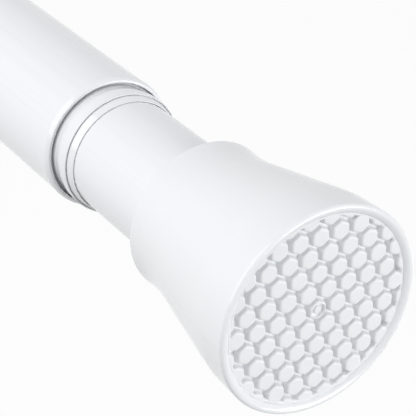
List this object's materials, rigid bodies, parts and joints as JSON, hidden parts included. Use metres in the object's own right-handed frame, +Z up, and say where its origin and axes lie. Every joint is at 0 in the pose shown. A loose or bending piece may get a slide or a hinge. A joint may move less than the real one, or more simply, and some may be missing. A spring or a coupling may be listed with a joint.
{
  "type": "spring tension rod",
  "caption": "Telescoping white tension rod: two tubes with conical feet and honeycomb pads, a twist lock and an inner spring that presses the feet against two walls.",
  "frame": {"origin": "centre of the fixed foot's rim plane, on the rod's axis", "axes": "+X along the rod from the fixed foot to the moving foot, +Z up with the rod horizontal as it hangs between two walls, +Y across it"},
  "size_m": [0.4306, 0.0422, 0.0422],
  "materials": {
    "white_enamelled_steel": "glossy baked enamel over a rolled steel tube",
    "white_gloss_plastic": "smooth moulded, glossy",
    "white_soft_pad": "soft moulded elastomer, matte",
    "natural_plastic": "unpainted moulding, semi-matte",
    "grey_plastic": "glass-filled moulding, semi-matte",
    "black_rubber": "matte rubber ring",
    "zinc_steel": "bright zinc plate",
    "spring_steel": "drawn wire, lightly oiled"
  },
  "bodies": {
    "outer": {"outer_tube": "white_enamelled_steel", "guide_collar": "white_gloss_plastic", "fixed_end_cap": "white_gloss_plastic", "fixed_end_pad": "white_soft_pad"},
    "grip": {"grip_sleeve": "grey_plastic", "drag_ring": "black_rubber"},
    "wedge": {"wedge_nut": "grey_plastic"},
    "stem": {"lock_screw": "zinc_steel", "thrust_washer": "zinc_steel", "retaining_clip": "spring_steel", "stop_washer": "zinc_steel", "stop_screw": "zinc_steel", "spring_piston": "grey_plastic", "piston_pin": "spring_steel", "piston_washer": "zinc_steel", "compression_spring": "spring_steel"},
    "inner": {"inner_tube": "white_enamelled_steel", "tube_end_bush": "natural_plastic", "bush_pins": "spring_steel", "spring_stop": "natural_plastic", "stop_end_washer": "zinc_steel", "reducer_sleeve": "natural_plastic", "moving_end_cap": "white_gloss_plastic", "moving_end_pad": "white_soft_pad"}
  },
  "joints": [
    {"name": "telescope", "type": "slide", "parent": "outer", "child": "grip", "axis": [1, 0, 0], "range_m": [-0.013, 0.22]},
    {"name": "twist_lock", "type": "hinge", "parent": "grip", "child": "stem", "pos_m": [0.07, 0, 0], "axis": [1, 0, 0], "range_deg": [0, 540]},
    {"name": "wedge_draw", "type": "slide", "parent": "grip", "child": "wedge", "axis": [1, 0, 0], "range_m": [0, 0.0045]},
    {"name": "spring_compression", "type": "slide", "parent": "stem", "child": "inner", "axis": [1, 0, 0], "range_m": [-0.014, 0], "stiffness_N_per_m": 5900, "springref_m": 0.004, "deforming": ["compression_spring"]}
  ],
  "couplings": [
    {"joint": "wedge_draw", "follows": "twist_lock", "m_per_rad": 0.00047746}
  ]
}
